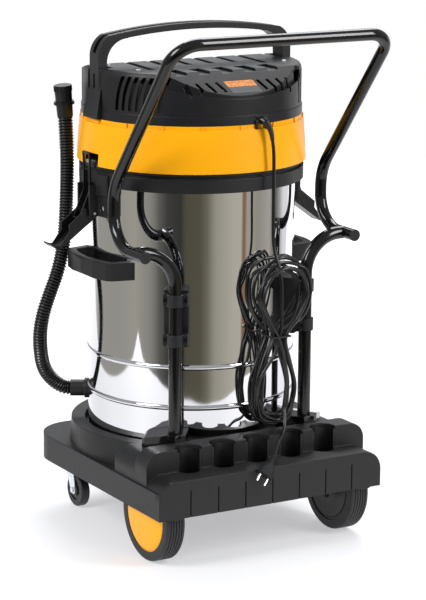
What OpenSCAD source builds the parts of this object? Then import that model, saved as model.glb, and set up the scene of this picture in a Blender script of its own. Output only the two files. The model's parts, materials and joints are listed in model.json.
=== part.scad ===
// Industrial wet/dry vacuum: steel tank on a wheeled trolley, with a lift-off motor head.
// +Z is up, -Y is the operator's side (push handle), and the floor is at z = 0.

/* [Tank] */
// Outer diameter of the steel tank
tank_d = 450; // [440:1:455]
// Height of the tank's bottom above the floor
tank_bottom_z = 208; // [206:1:210]
// Height of the tank's rim above the floor
tank_rim_z = 774; // [772:1:776]
// Thickness of the steel sheet
tank_wall = 1; // [1:0.5:2]
// Heights of the two rolled beads
bead_heights = [299, 387];

/* [Head] */
// Outer diameter of the yellow ring at its foot
ring_foot_d = 496; // [492:1:500]
// Outer diameter of the yellow ring at its top
ring_top_d = 483; // [478:1:486]
// Height of the yellow ring's foot above the floor
ring_foot_z = 804; // [803:1:806]
// Height of the yellow ring's top above the floor
ring_top_z = 903; // [900:1:904]
// Height of the cover's flat top above the floor
cover_top_z = 1010; // [1005:1:1014]
// Distance between the seats of the carry handle's two columns
cover_flats = 410; // [400:1:420]
// Height of the carry handle's crown above the floor
carry_top_z = 1094; // [1088:1:1100]

/* [Trolley] */
// Overall width of the trolley
trolley_w = 544; // [536:1:552]
// Height of the trolley's lower edge above the floor
skirt_z = 115; // [112:1:118]
// Height of the trolley's front deck above the floor
deck_z = 172; // [170:1:175]
// Height of the rear bumper's top above the floor
bumper_z = 195; // [192:1:197]
// Height of the rack that holds the tool cups
rack_z = 243; // [240:1:246]
// Wall thickness of the moulded trolley
trolley_wall = 4; // [3:0.5:5]

/* [Wheels] */
// Diameter of the rear wheels
wheel_d = 196; // [190:1:198]
// Width of the rear tyres
tyre_w = 44; // [40:1:46]
// Diameter of the castor wheels
castor_d = 75; // [70:1:76]
// Width of the castor wheels
castor_w = 22; // [18:1:24]

/* [Push handle] */
// Outer diameter of the handle's tube
handle_tube_d = 25.4; // [22:0.1:26]
// Outer diameter of the two rear posts
post_d = 28; // [26:0.5:28]
// Distance between the centrelines of the handle's arms
handle_w = 510; // [500:1:516]
// Straight length of each arm below the bend into the top bar
arm_straight = 321; // [300:1:330]
// Lean of the handle's arms from upright
handle_lean = 39; // [36:1:41]

/* [Cord and hose] */
// Diameter of the mains cord
cord_d = 7.5; // [7:0.5:8]
// Outer diameter of the drain hose
hose_d = 32; // [30:1:33]

/* [Latches] */
// Lean of the open latch lever below level
latch_open_angle = 36; // [34:1:38]

/* [Hidden] */

$fn = 96;
small_fn = 32;
eps = 0.01;
gap = 0.3;
run = 0.05;

tank_r = tank_d / 2;
collar_r = 243;
collar_z0 = tank_rim_z - 11;
collar_z1 = tank_rim_z + 18;

ring_foot_r = ring_foot_d / 2;
ring_top_r = ring_top_d / 2;
ring_wall = 3.5;
base_r = ring_foot_r - ring_wall - 3;

cover_lip_r = 238;
cover_r = 236;
cover_shoulder_z = 996;
cover_top_r = 228;
cover_back_y = -163;
ridge_y = 42;
front_z = 965;
crescent_z = 957;
crescent_r = 620;
shelf_w = 8;
cover_wall = 3;
plate_t = 0.8;
plate_h = 35;
rear_slope = 0.72;
gland_r = 7;
cover_lip_z0 = ring_top_z;
cover_lip_z1 = 922;

trolley_back_y = -353;
trolley_front_y = 250;
rack_y = -290;
rack_back_y = -240;
housing_front_y = -150;
housing_z = 227;
recess_r = 232;
rim_r = 262;
rim_z = 225;

axle_y = -247;
axle_z = wheel_d / 2;
axle_r = 7;
wheel_outer_x = 249;
hub_r = 78;

castor_x = 196;
castor_y = 185;
castor_trail = 25;
castor_plate_z = 100;
castor_axle_z = castor_d / 2;
castor_axle_r = 4;
castor_stem_r = 7;
castor_hub_r = 24;

post_x = 160;
post_y = -217;
post_bend_r = 82;
post_foot_z = 130;
stub_z = 650;
stub_back_y = -262;
tube_wall = 2;
clamp_z = [458, 543];

arm_x = handle_w / 2;
arm_low_r = 72;
arm_high_r = 110;
arm_low_y = -195;
arm_link = 12;
swell = 0.05;
sleeve = 0.2;
bar_bend_r = 55;

cup_count = 5;
cup_pitch = 83;
cup_r = 29;
cup_bore_r = 25;
cup_y = rack_y + 6;
cup_foot_z = bumper_z - 45;
cup_rim_z = rack_z - 7;

// Middle of the body from the top bar's back to the inlet's mouth
inlet_mouth_y = 290;
arm_high_reach = arm_straight + bar_bend_r;
bar_y = arm_low_y + arm_low_r - arm_high_r * (1 - cos(handle_lean)) - arm_high_reach * sin(handle_lean);
bar_z = stub_z + arm_low_r + arm_link + arm_high_r * sin(handle_lean) + arm_high_reach * cos(handle_lean);
back_y = bar_y - handle_tube_d / 2;
centre_y = (back_y + inlet_mouth_y) / 2;

lever_pivot = [250, 703];
lever_half_w = 20;
bail_u = 30;
bail_v = 8;
latch_flat_x = 238.5;

inlet_z = 640;
inlet_bore_r = 25;
drain_bore_r = 12;
drain_start = 190;

// Route of the mains cord from its boot to the hank, and from the hank to the plug
cord_lead = [[48, -256, 872], [50, -259, 840], [50, -260, 780], [50, -260, 720], [51, -260, 660],
    [52, -259, 618]];
cord_tail = [[72, -278, 303], [70, -284, 287], [65, -292, 269], [58, -301, 255], [44, -312, 243],
    [22, -333, 233], [2, -353, 217]];
plug_turn = [-29, 43];

// Route of the drain hose from the tank's fitting to its cuff
hose_route = [[-222, 128, 284], [-244, 140, 287], [-268, 146, 306], [-288, 142, 334], [-301, 132, 372],
    [-306, 124, 418], [-301, 118, 462], [-287, 114, 506], [-271, 112, 548], [-258, 113, 592],
    [-250, 114, 640], [-246, 115, 690], [-244, 115, 740], [-243, 115, 790], [-244, 115, 840],
    [-247, 114, 892]];

// ---- Shared helpers ----

// Moves the tank's axis so that the body's middle is at the origin
module placed() {
    translate([0, -centre_y, 0]) children();
}

module mirrored_pair() {
    children();
    mirror([1, 0, 0]) children();
}

// Outline with two corner radii: r0 at the back (y0), r1 at the front (y1)
module deck_outline(w, y0, y1, r0, r1) {
    for (side = [-1, 1]) {
        translate([side * (w / 2 - r0), y0 + r0]) circle(r = r0);
        translate([side * (w / 2 - r1), y1 - r1]) circle(r = r1);
    }
    translate([-w / 2 + r0, y0]) square([w - 2 * r0, r0 + eps]);
    translate([-w / 2 + r1, y1 - r1 - eps]) square([w - 2 * r1, r1 + eps]);
    translate([-w / 2, y0 + r0]) square([w, y1 - r1 - y0 - r0]);
}

// Upright slab from y0 to y1 whose two top corners are rounded
module loaf(w, z0, z1, r, y0, y1) {
    translate([0, y1, 0]) rotate([90, 0, 0]) linear_extrude(y1 - y0) {
        translate([-w / 2, z0]) square([w, z1 - r - z0]);
        translate([-w / 2 + r, z0]) square([w - 2 * r, z1 - z0]);
        for (side = [-1, 1])
            translate([side * (w / 2 - r), z1 - r]) circle(r = r);
    }
}

module ring_solid(r_out, r_in, z0, z1) {
    translate([0, 0, z0]) difference() {
        cylinder(r = r_out, h = z1 - z0);
        translate([0, 0, -1]) cylinder(r = r_in, h = z1 - z0 + 2);
    }
}

// Quarter or other part of a bent tube in the XY plane, bending about Z from the +X axis
module bend(bend_r, angle, r_out, r_in) {
    rotate_extrude(angle = angle) translate([bend_r, 0]) difference() {
        circle(r = r_out);
        circle(r = r_in);
    }
}

module pipe(length, r_out, r_in) {
    difference() {
        cylinder(r = r_out, h = length);
        translate([0, 0, -1]) cylinder(r = r_in, h = length + 2);
    }
}

// Points of a smooth curve through route, with steps points for each leg
function curve_point(a, b, c, d, t) =
    0.5 * ((2 * b) + (c - a) * t + (2 * a - 5 * b + 4 * c - d) * t * t
    + (3 * b - a - 3 * c + d) * t * t * t);
function smooth_route(route, steps) = [
    for (i = [0 : len(route) - 2])
        for (k = [0 : steps - 1])
            curve_point(
                i == 0 ? 2 * route[0] - route[1] : route[i - 1],
                route[i],
                route[i + 1],
                i == len(route) - 2 ? 2 * route[i + 1] - route[i] : route[i + 2],
                k / steps),
    route[len(route) - 1]
];
function unit(v) = v / norm(v);
function heading(points, i) =
    unit(points[min(i + 1, len(points) - 1)] - points[max(i - 1, 0)]);
function side_axis(along, guide) = unit(guide - (guide * along) * along);

// Round tube swept along points; guide is a direction that the route never runs along
module swept_tube(points, r, sides, guide) {
    rings = len(points);
    corners = [
        for (i = [0 : rings - 1])
            let (along = heading(points, i), u = side_axis(along, guide), v = cross(along, u))
            for (k = [0 : sides - 1])
                points[i] + r * (cos(360 * k / sides) * u + sin(360 * k / sides) * v)
    ];
    start_cap = [[for (k = [0 : sides - 1]) k]];
    end_cap = [[for (k = [sides - 1 : -1 : 0]) (rings - 1) * sides + k]];
    walls = [
        for (i = [0 : rings - 2])
            for (k = [0 : sides - 1])
                [i * sides + k, (i + 1) * sides + k,
                    (i + 1) * sides + (k + 1) % sides, i * sides + (k + 1) % sides]
    ];
    polyhedron(points = corners, faces = concat(start_cap, end_cap, walls), convexity = 10);
}

// Hexagon-socket screw along +X with its head at x = 0
module screw_x(head_r, head_h, shank_r, shank_l) {
    rotate([0, -90, 0]) difference() {
        cylinder(r = head_r, h = head_h, $fn = small_fn);
        translate([0, 0, head_h / 2]) cylinder(r = head_r * 0.5, h = head_h, $fn = 6);
    }
    rotate([0, 90, 0]) translate([0, 0, -eps]) cylinder(r = shank_r, h = shank_l, $fn = small_fn);
}

// ---- Trolley ----

module trolley_shape(inset) {
    lift = inset;
    translate([0, 0, skirt_z - (inset > 0 ? 5 : 0)])
        linear_extrude(deck_z - skirt_z - lift + (inset > 0 ? 5 : 0))
            deck_outline(trolley_w - 2 * inset, trolley_back_y + inset, trolley_front_y - inset,
                18 - inset, 90 - inset);
    loaf(trolley_w - 2 * inset, skirt_z, bumper_z - lift, 42 - inset,
        trolley_back_y + inset, rack_y + inset + 1);
    loaf(trolley_w - 8 - 2 * inset, skirt_z, housing_z - lift, 36 - inset,
        rack_y + inset, housing_front_y - inset);
    loaf(trolley_w - 8 - 2 * inset, skirt_z, rack_z - lift, 36 - inset,
        rack_y + inset, rack_back_y - inset);
    translate([0, 0, skirt_z])
        cylinder(r1 = rim_r + 7 - inset, r2 = rim_r - inset, h = rim_z - skirt_z - lift);
}

module bumper_grooves() {
    groove_count = 7;
    groove_pitch = 66;
    for (i = [0 : groove_count - 1])
        translate([(i - (groove_count - 1) / 2) * groove_pitch - 1.5, trolley_back_y - 1, skirt_z - 1])
            cube([3, 3.5, bumper_z - skirt_z - 22]);
}

module cup_positions() {
    for (i = [0 : cup_count - 1])
        translate([(i - (cup_count - 1) / 2) * cup_pitch, cup_y, 0]) children();
}

module trolley_base() {
    color([0.13, 0.13, 0.14]) placed() difference() {
        union() {
            difference() {
                trolley_shape(0);
                difference() {
                    trolley_shape(trolley_wall);
                    translate([0, 0, tank_bottom_z - trolley_wall])
                        cylinder(r = recess_r + trolley_wall, h = 100);
                    cup_positions()
                        translate([0, 0, cup_foot_z - trolley_wall])
                            cylinder(r = cup_r + trolley_wall, h = 100);
                }
            }
            for (side = [-1, 1]) {
                // Post sockets
                translate([side * post_x, post_y, post_foot_z - 5]) cylinder(r = 20, h = 95);
                // Axle hangers
                translate([side * (wheel_outer_x - tyre_w - 16) - 5, axle_y - 24, axle_z - 20])
                    cube([10, 48, bumper_z - axle_z + 15]);
                // Castor bosses
                translate([side * castor_x, castor_y, castor_plate_z + 4])
                    cylinder(r = 30, h = deck_z - castor_plate_z - 5);
            }
        }
        // Recess for the tank
        translate([0, 0, tank_bottom_z]) cylinder(r = recess_r, h = 100);
        for (side = [-1, 1]) {
            translate([side * post_x, post_y, post_foot_z]) cylinder(r = post_d / 2, h = 200);
            translate([side * castor_x, castor_y, castor_plate_z])
                cylinder(r = castor_stem_r + 0.5, h = 30);
        }
        translate([-trolley_w, axle_y, axle_z]) rotate([0, 90, 0]) cylinder(r = axle_r, h = 2 * trolley_w);
        bumper_grooves();
        cup_positions() translate([0, 0, cup_foot_z]) cylinder(r = cup_r, h = 100);
    }
}

// Each cup is closed all round below the ledge and open to the back of the trolley above it
module tool_cups() {
    color([0.05, 0.05, 0.055]) placed() cup_positions() difference() {
        translate([0, 0, cup_foot_z]) cylinder(r = cup_r, h = cup_rim_z - cup_foot_z);
        translate([0, 0, cup_foot_z + 3]) cylinder(r = cup_bore_r, h = 100);
        translate([-cup_r - 1, -cup_r - 1, bumper_z])
            cube([2 * cup_r + 2, cup_r + 1 + rack_y - cup_y, 100]);
    }
}

module rear_axle() {
    half = wheel_outer_x - 3.5;
    clip_w = 3;
    color([0.7, 0.7, 0.72]) placed() translate([0, axle_y, axle_z]) rotate([0, 90, 0]) {
        translate([0, 0, -half]) cylinder(r = axle_r, h = 2 * half);
        // Clip outside each hub's boss
        for (z = [-half + 1, half - 1 - clip_w])
            translate([0, 0, z]) ring_solid(axle_r + 3.5, axle_r - 1, 0, clip_w);
    }
}

// Wheel parts are drawn along +X with the outer face at x = tyre_w
module hub_shape() {
    rotate([90, 0, 90]) difference() {
        union() {
            ring_solid(hub_r, hub_r - 6, 2, tyre_w - 2);
            translate([0, 0, 12]) cylinder(r = hub_r - 5, h = 5);
            cylinder(r = 18, h = tyre_w - 10);
            for (i = [0 : 5])
                rotate(60 * i) translate([16, -2, 4]) cube([hub_r - 21, 4, 12]);
            // Domed outer disc
            rotate_extrude() polygon(concat(
                [[0, tyre_w - 3], [0, tyre_w + 6]],
                [for (a = [0 : 10 : 80]) [(hub_r - 4) * sin(a), tyre_w - 1 + 7 * cos(a)]],
                [[hub_r, tyre_w - 3]]));
        }
        translate([0, 0, -1]) cylinder(r = axle_r + run, h = tyre_w - 5);
    }
}

module tyre_shape() {
    tread_count = 5;
    tread_pitch = 6.4;
    rotate([90, 0, 90]) rotate_extrude() difference() {
        union() {
            translate([hub_r, 3]) square([wheel_d / 2 - hub_r - 4, tyre_w - 6]);
            translate([hub_r, 6]) square([wheel_d / 2 - hub_r, tyre_w - 12]);
            for (z = [6, tyre_w - 6])
                translate([wheel_d / 2 - 6, z]) circle(r = 6);
            translate([hub_r, 0]) square([wheel_d / 2 - hub_r - 6, tyre_w]);
        }
        for (i = [0 : tread_count - 1])
            translate([wheel_d / 2 - 2.2, tyre_w / 2 + (i - (tread_count - 1) / 2) * tread_pitch - 1])
                square([4, 2]);
    }
}

module at_wheel(side) {
    placed() translate([side * (wheel_outer_x - tyre_w), axle_y, axle_z])
        mirror([side < 0 ? 1 : 0, 0, 0]) children();
}

module castor_plates() {
    color([0.72, 0.73, 0.75]) placed() for (side = [-1, 1])
        translate([side * castor_x, castor_y, castor_plate_z]) {
            difference() {
                translate([-29, -29, 1]) cube([58, 58, 3]);
                cylinder(r = castor_stem_r + 4, h = 10);
            }
            difference() {
                translate([0, 0, -1.5]) cylinder(r = 19, h = 2.5);
                translate([0, 0, -5]) cylinder(r = castor_stem_r + run, h = 20);
            }
        }
}

module castor_fork(side) {
    half_w = castor_w / 2 + 3;
    top = castor_plate_z - 2;
    color([0.78, 0.79, 0.81]) placed() translate([side * castor_x, castor_y, 0]) {
        difference() {
            union() {
                translate([-half_w, -22, top - 4]) cube([2 * half_w, 40, 4]);
                translate([0, 0, top - 6]) cylinder(r = 18, h = 6);
                translate([0, 0, top - 1]) cylinder(r = castor_stem_r, h = 16);
                for (s = [-1, 1])
                    translate([s * (half_w - 1.25) - 1.25, 0, 0]) rotate([90, 0, 90])
                        linear_extrude(2.5) polygon([[-22, top], [16, top], [10, top - 16],
                            [-castor_trail + 9, castor_axle_z - 6], [-castor_trail + 5, castor_axle_z - 9],
                            [-castor_trail - 5, castor_axle_z - 9], [-castor_trail - 9, castor_axle_z - 3],
                            [-castor_trail - 7, castor_axle_z + 12]]);
            }
            translate([-40, -castor_trail, castor_axle_z]) rotate([0, 90, 0])
                cylinder(r = castor_axle_r, h = 80);
            // Room for the wheel
            translate([0, -castor_trail, castor_axle_z]) rotate([0, 90, 0])
                translate([0, 0, -half_w + 2.5])
                    cylinder(r = castor_d / 2 + 3, h = 2 * half_w - 5);
        }
    }
}

module castor_axle(side) {
    half_w = castor_w / 2 + 3;
    color([0.6, 0.61, 0.63]) placed() translate([side * castor_x, castor_y - castor_trail, castor_axle_z])
        rotate([0, 90, 0]) {
            translate([0, 0, -half_w]) cylinder(r = castor_axle_r, h = 2 * half_w);
            for (s = [-1, 1])
                translate([0, 0, s * (half_w + 2) - 2]) cylinder(r = 6.5, h = 4, $fn = 6);
        }
}

module castor_wheel(side) {
    tread_foot = castor_d / 2 - castor_hub_r;
    color([0.12, 0.12, 0.13]) placed() translate([side * castor_x, castor_y - castor_trail, castor_axle_z])
        rotate([0, 90, 0]) rotate_extrude() difference() {
            union() {
                translate([castor_axle_r + run, -castor_w / 2]) square([10, castor_w]);
                translate([12, -castor_w / 2 + 4]) square([14, castor_w - 8]);
                translate([castor_hub_r, -castor_w / 2 + 1]) square([tread_foot - 4, castor_w - 2]);
                translate([castor_hub_r, -castor_w / 2 + 5]) square([tread_foot, castor_w - 10]);
                for (end = [-1, 1])
                    translate([castor_d / 2 - 5, end * (castor_w / 2 - 5)])
                        circle(r = 5 - eps, $fn = small_fn);
            }
            translate([0, -castor_w]) square([castor_axle_r + run, 2 * castor_w]);
        }
}

// ---- Posts and push handle ----

module rear_post() {
    translate([post_x, post_y, 0]) {
        translate([0, 0, post_foot_z])
            pipe(stub_z - post_bend_r - post_foot_z, post_d / 2, post_d / 2 - tube_wall);
        difference() {
            translate([post_bend_r, 0, stub_z - post_bend_r]) rotate([90, 0, 0]) mirror([1, 0, 0])
                bend(post_bend_r, 90, post_d / 2, post_d / 2 - tube_wall);
            // End shaped to the handle's stub
            translate([arm_x - post_x, -100, stub_z]) rotate([-90, 0, 0])
                cylinder(r = handle_tube_d / 2, h = 200);
        }
        difference() {
            translate([post_bend_r - eps, 0, stub_z]) rotate([0, 90, 0])
                pipe(arm_x - post_x - post_bend_r, post_d / 2, post_d / 2 - tube_wall);
            translate([arm_x - post_x, -100, stub_z]) rotate([-90, 0, 0])
                cylinder(r = handle_tube_d / 2, h = 200);
        }
    }
}

module rear_posts() {
    color([0.06, 0.06, 0.07]) placed() mirrored_pair() rear_post();
}

module at_posts() {
    mirrored_pair() translate([post_x, post_y, 0]) rotate(atan2(post_y, post_x)) children();
}

// Block on the deck round each post's foot, reaching forward beside the tank
module post_feet() {
    top = [[-24, 256], [16, 258], [63, 248], [69, 242]];
    clear_r = tank_r + 3;
    color([0.05, 0.05, 0.055]) placed() difference() {
        at_posts() intersection() {
            translate([0, 0, housing_z]) linear_extrude(60)
                polygon([[-70, -24], [17, -24], [24, -18], [27, 8], [14, 63], [8, 69], [-70, 69]]);
            translate([-80, 0, 0]) rotate([90, 0, 90]) linear_extrude(120)
                polygon(concat([[-24, 200]], top, [[69, 200]]));
        }
        cylinder(r = clear_r, h = 400);
        at_posts() cylinder(r = post_d / 2, h = 400);
        // Room for the rack
        translate([-trolley_w / 2, rack_back_y - 100, 0]) cube([trolley_w, 100, rack_z + 20]);
    }
}

// Each clamp bracket is one moulding: two rings round the post on a plate against the tank
module post_clamps() {
    clamp_h = 26;
    clamp_r = post_d / 2 + 4;
    half_w = 26;
    plate_z0 = clamp_z[0] - 18;
    plate_h = clamp_z[1] - clamp_z[0] + 36;
    reach = norm([post_x, post_y]);
    color([0.1, 0.1, 0.11]) placed() difference() {
        at_posts() {
            for (z = clamp_z) translate([0, 0, z - clamp_h / 2]) {
                cylinder(r = clamp_r, h = clamp_h);
                translate([-16, -half_w, 0]) cube([16, 2 * half_w, clamp_h]);
            }
            translate([tank_r - 12 - reach, -half_w, plate_z0])
                cube([reach - tank_r - 4, 2 * half_w, plate_h]);
        }
        translate([0, 0, plate_z0 - 1]) cylinder(r = tank_r, h = plate_h + 2);
        at_posts() {
            translate([0, 0, plate_z0 - 1]) cylinder(r = post_d / 2, h = plate_h + 2);
            for (z = clamp_z) for (side = [-1, 1])
                translate([-10, side * 22, z]) rotate([0, 90, 0]) cylinder(r = 2, h = 20, $fn = small_fn);
        }
    }
}

// One side of the handle, from its stub round the two low bends and up round the corner bend.
// The straight pieces run a little way into the bends, whose wall is a touch thicker.
module half_handle() {
    r_out = handle_tube_d / 2;
    r_in = r_out - tube_wall;
    translate([arm_x, arm_low_y, stub_z]) {
        translate([0, stub_back_y + 2 - arm_low_y, 0]) rotate([-90, 0, 0])
            pipe(arm_low_y - stub_back_y - 2 + sleeve, r_out, r_in);
        translate([0, 0, arm_low_r]) {
            rotate([90, 0, 90]) rotate(-90) bend(arm_low_r, 90, r_out + swell, r_in - swell);
            translate([0, arm_low_r, -sleeve]) pipe(arm_link + 2 * sleeve, r_out, r_in);
            translate([0, arm_low_r - arm_high_r, arm_link]) {
                rotate([90, 0, 90]) bend(arm_high_r, handle_lean, r_out + swell, r_in - swell);
                rotate([handle_lean, 0, 0]) translate([0, arm_high_r, 0]) {
                    translate([0, 0, -sleeve]) pipe(arm_straight + 2 * sleeve, r_out, r_in);
                    translate([-bar_bend_r, 0, arm_straight]) rotate([90, 0, 0])
                        bend(bar_bend_r, 90, r_out + swell, r_in - swell);
                }
            }
        }
    }
}

module push_handle() {
    bar_half = arm_x - bar_bend_r + sleeve;
    color([0.04, 0.04, 0.045]) placed() {
        mirrored_pair() half_handle();
        translate([-bar_half, bar_y, bar_z]) rotate([0, 90, 0])
            pipe(2 * bar_half, handle_tube_d / 2, handle_tube_d / 2 - tube_wall);
    }
}

module handle_caps() {
    color([0.16, 0.16, 0.17]) placed() mirrored_pair() translate([arm_x, stub_back_y, stub_z])
        rotate([-90, 0, 0]) {
            cylinder(r = handle_tube_d / 2, h = 2);
            translate([0, 0, 1]) cylinder(r = handle_tube_d / 2 - tube_wall, h = 14);
        }
}

// ---- Tank ----

module tank() {
    bead_h = 7;
    foot_r = 12;
    color([0.82, 0.83, 0.85]) placed() difference() {
        tank_shell(foot_r, bead_h);
        translate([0, tank_r - 20, inlet_z]) rotate([-90, 0, 0]) cylinder(r = inlet_bore_r, h = 40);
        at_drain() cylinder(r = drain_bore_r, h = 60);
    }
}

module tank_shell(foot_r, bead_h) {
    rotate_extrude($fn = 180) difference() {
        union() {
            translate([0, tank_bottom_z]) square([tank_r - foot_r, tank_wall]);
            translate([tank_r - tank_wall, tank_bottom_z + foot_r])
                square([tank_wall, tank_rim_z - tank_bottom_z - foot_r]);
            intersection() {
                translate([tank_r - foot_r, tank_bottom_z + foot_r]) difference() {
                    circle(r = foot_r);
                    circle(r = foot_r - tank_wall);
                }
                translate([tank_r - foot_r, tank_bottom_z]) square(foot_r);
            }
            for (z = bead_heights)
                intersection() {
                    translate([tank_r - 4, z]) circle(r = bead_h);
                    translate([tank_r - tank_wall, z - bead_h]) square([10, 2 * bead_h]);
                }
        }
        for (z = bead_heights)
            translate([tank_r - 4 - tank_wall, z]) circle(r = bead_h - 1);
    }
}

module tank_collar() {
    color([0.11, 0.11, 0.12]) placed() difference() {
        rotate_extrude($fn = 180) {
            // Groove for the gasket in the top face
            difference() {
                translate([tank_r - 9, tank_rim_z]) square([collar_r - tank_r + 9, collar_z1 - tank_rim_z]);
                translate([tank_r + 2, collar_z1 - 5]) square([10, 6]);
            }
            translate([tank_r, collar_z0]) square([collar_r - tank_r, tank_rim_z - collar_z0 + eps]);
        }
        // Flat behind each latch
        mirrored_pair() translate([latch_flat_x, -20, collar_z0 - 1]) cube([20, 40, 60]);
    }
}

module side_grip() {
    z0 = 569;
    z1 = 607;
    difference() {
        translate([0, 0, z0]) linear_extrude(z1 - z0) difference() {
            polygon([[180, -112], [247, -97], [256, -88], [266, -45], [270, 0], [266, 45], [256, 88],
                [247, 97], [180, 112]]);
            polygon([[180, -94], [240, -81], [251, -42], [255, 0], [251, 42], [240, 81], [180, 94]]);
        }
        translate([0, 0, z0 - 1]) cylinder(r = tank_r, h = 60);
        // Eased upper and lower edges of the outer face
        for (z = [z0, z1])
            translate([272, -150, z]) rotate([0, 45, 0]) translate([-5, 0, -5]) cube([10, 300, 10]);
    }
}

module side_grips() {
    color([0.15, 0.15, 0.16]) placed() mirrored_pair() side_grip();
}

module sector(angle, r) {
    polygon([[0, 0], for (a = [-angle, -angle / 2, 0, angle / 2, angle]) 2 * r * [cos(a), sin(a)]]);
}

module latch_bracket() {
    z0 = lever_pivot[1] - 6;
    cheek_y = 24;
    difference() {
        union() {
            // Back plate on the tank and two side lobes
            linear_extrude(collar_z0 - 1 - z0, convexity = 4) difference() {
                intersection() {
                    circle(r = tank_r + 5);
                    sector(15, tank_r);
                }
                circle(r = tank_r);
            }
            for (s = [-1, 1]) mirror([0, s < 0 ? 1 : 0, 0]) {
                intersection() {
                    linear_extrude(collar_z0 - 1 - z0) difference() {
                        circle(r = collar_r + 1);
                        circle(r = tank_r);
                    }
                    translate([180, cheek_y + 4, -1]) cube([80, 36, 100]);
                }
                intersection() {
                    translate([0, 0, collar_z0 - z0 - 20]) linear_extrude(collar_z1 - collar_z0 + 16)
                        difference() {
                            circle(r = collar_r + 5);
                            circle(r = collar_r);
                        }
                    translate([180, cheek_y, 0]) cube([80, 40, 200]);
                }
                // Upright cheeks that carry the lever
                translate([227, cheek_y, 0]) cube([16, 4.5, collar_z0 - 1 - z0]);
                translate([242.5, cheek_y, 0]) cube([20, 4.5, 66]);
            }
        }
        // Screw recesses
        for (s = [-1, 1])
            translate([collar_r - 9, s * 42, 18]) rotate([0, 90, 0]) {
                cylinder(r = 7, h = 30);
                translate([0, 0, -7]) cylinder(r = 2.5, h = 10, $fn = small_fn);
            }
        translate([lever_pivot[0], -60, lever_pivot[1] - z0]) rotate([-90, 0, 0])
            cylinder(r = 3, h = 120);
    }
}

module latch_brackets() {
    color([0.13, 0.13, 0.14]) placed() mirrored_pair()
        translate([0, 0, lever_pivot[1] - 6]) latch_bracket();
}

module latch_pins() {
    color([0.7, 0.7, 0.72]) placed() mirrored_pair() translate([lever_pivot[0], -28.5, lever_pivot[1]])
        rotate([-90, 0, 0]) cylinder(r = 3, h = 57);
}

// The lever's own frame: u runs out along the lever from its pivot, v is square to it and up
module lever_frame() {
    translate([lever_pivot[0], 0, lever_pivot[1]]) rotate([0, latch_open_angle, 0]) children();
}

module latch_lever() {
    flange = [[-8, -12], [100, -12], [106, -10], [112, -3], [114, 6], [111, 7], [106, -1], [100, -6],
        [66, 4], [58, 16], [8, 18], [-8, 10]];
    web = [[-8, -12], [100, -12], [106, -10], [112, -3], [115, 9], [112, 10], [109, -1], [104, -7],
        [99, -9.5], [-8, -9.5]];
    lever_frame() difference() {
        union() {
            for (s = [-1, 1])
                translate([0, s * (lever_half_w - 1.25) + 1.25, 0]) rotate([90, 0, 0])
                    linear_extrude(2.5) polygon(flange);
            translate([0, lever_half_w - 1, 0]) rotate([90, 0, 0])
                linear_extrude(2 * lever_half_w - 2) polygon(web);
        }
        translate([0, -50, 0]) rotate([-90, 0, 0]) cylinder(r = 3 + run, h = 100);
        translate([bail_u, -50, bail_v]) rotate([-90, 0, 0]) cylinder(r = 2 + run, h = 100);
    }
}

// Bail: two flat bent legs, a cross pin in the lever and a hook bar at the top
module latch_bail() {
    leg_y = 12;
    leg_t = 3;
    leg_w = 4;
    pin = lever_pivot + [bail_u * cos(latch_open_angle) + bail_v * sin(latch_open_angle),
        -bail_u * sin(latch_open_angle) + bail_v * cos(latch_open_angle)];
    top = [255.5, 830];
    leg = [pin, [254, 750], [254, 806], top];
    translate([pin[0], -lever_half_w, pin[1]]) rotate([-90, 0, 0])
        cylinder(r = 2, h = 2 * lever_half_w);
    for (s = [-1, 1]) translate([0, s * (leg_y + leg_t / 2) + leg_t / 2, 0]) rotate([90, 0, 0])
        linear_extrude(leg_t) {
            for (i = [0 : 2]) translate(leg[i])
                rotate(atan2(leg[i + 1][1] - leg[i][1], leg[i + 1][0] - leg[i][0]))
                    translate([0, -leg_w / 2]) square([norm(leg[i + 1] - leg[i]), leg_w]);
            for (point = leg) translate(point) circle(r = leg_w / 2 + eps);
        }
    translate([top[0], -leg_y - 1, top[1]]) rotate([-90, 0, 0]) cylinder(r = 2.2, h = 2 * leg_y + 2);
}

module tank_screws() {
    color([0.62, 0.63, 0.65]) placed() mirrored_pair() {
        for (s = [-1, 1])
            translate([collar_r - 9, s * 42, lever_pivot[1] + 12]) mirror([1, 0, 0])
                screw_x(5.5, 3, 2.5, 7);
        translate([post_x, post_y, 0]) rotate(atan2(post_y, post_x)) for (z = clamp_z) for (s = [-1, 1])
            translate([0, s * 22, z]) mirror([1, 0, 0]) screw_x(4, 3, 2, 10);
    }
}

module hose_inlet() {
    color([0.1, 0.1, 0.11]) placed() difference() {
        translate([0, 0, inlet_z]) rotate([-90, 0, 0]) {
            translate([0, 0, tank_r - 10]) cylinder(r = 34, h = inlet_mouth_y - tank_r + 10);
            translate([0, 0, tank_r - 10]) cylinder(r = 46, h = 20);
        }
        translate([0, 150, inlet_z]) rotate([-90, 0, 0]) cylinder(r = inlet_bore_r, h = 200);
        translate([0, 0, inlet_z - 60]) cylinder(r = tank_r, h = 120);
    }
}

// ---- Drain hose ----

// Frame of the drain outlet: +Z runs out of the tank from a point 190 mm from its axis
module at_drain() {
    start = hose_route[0];
    rotate(atan2(start[1], start[0])) translate([drain_start, 0, start[2]]) rotate([0, 90, 0])
        children();
}

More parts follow.
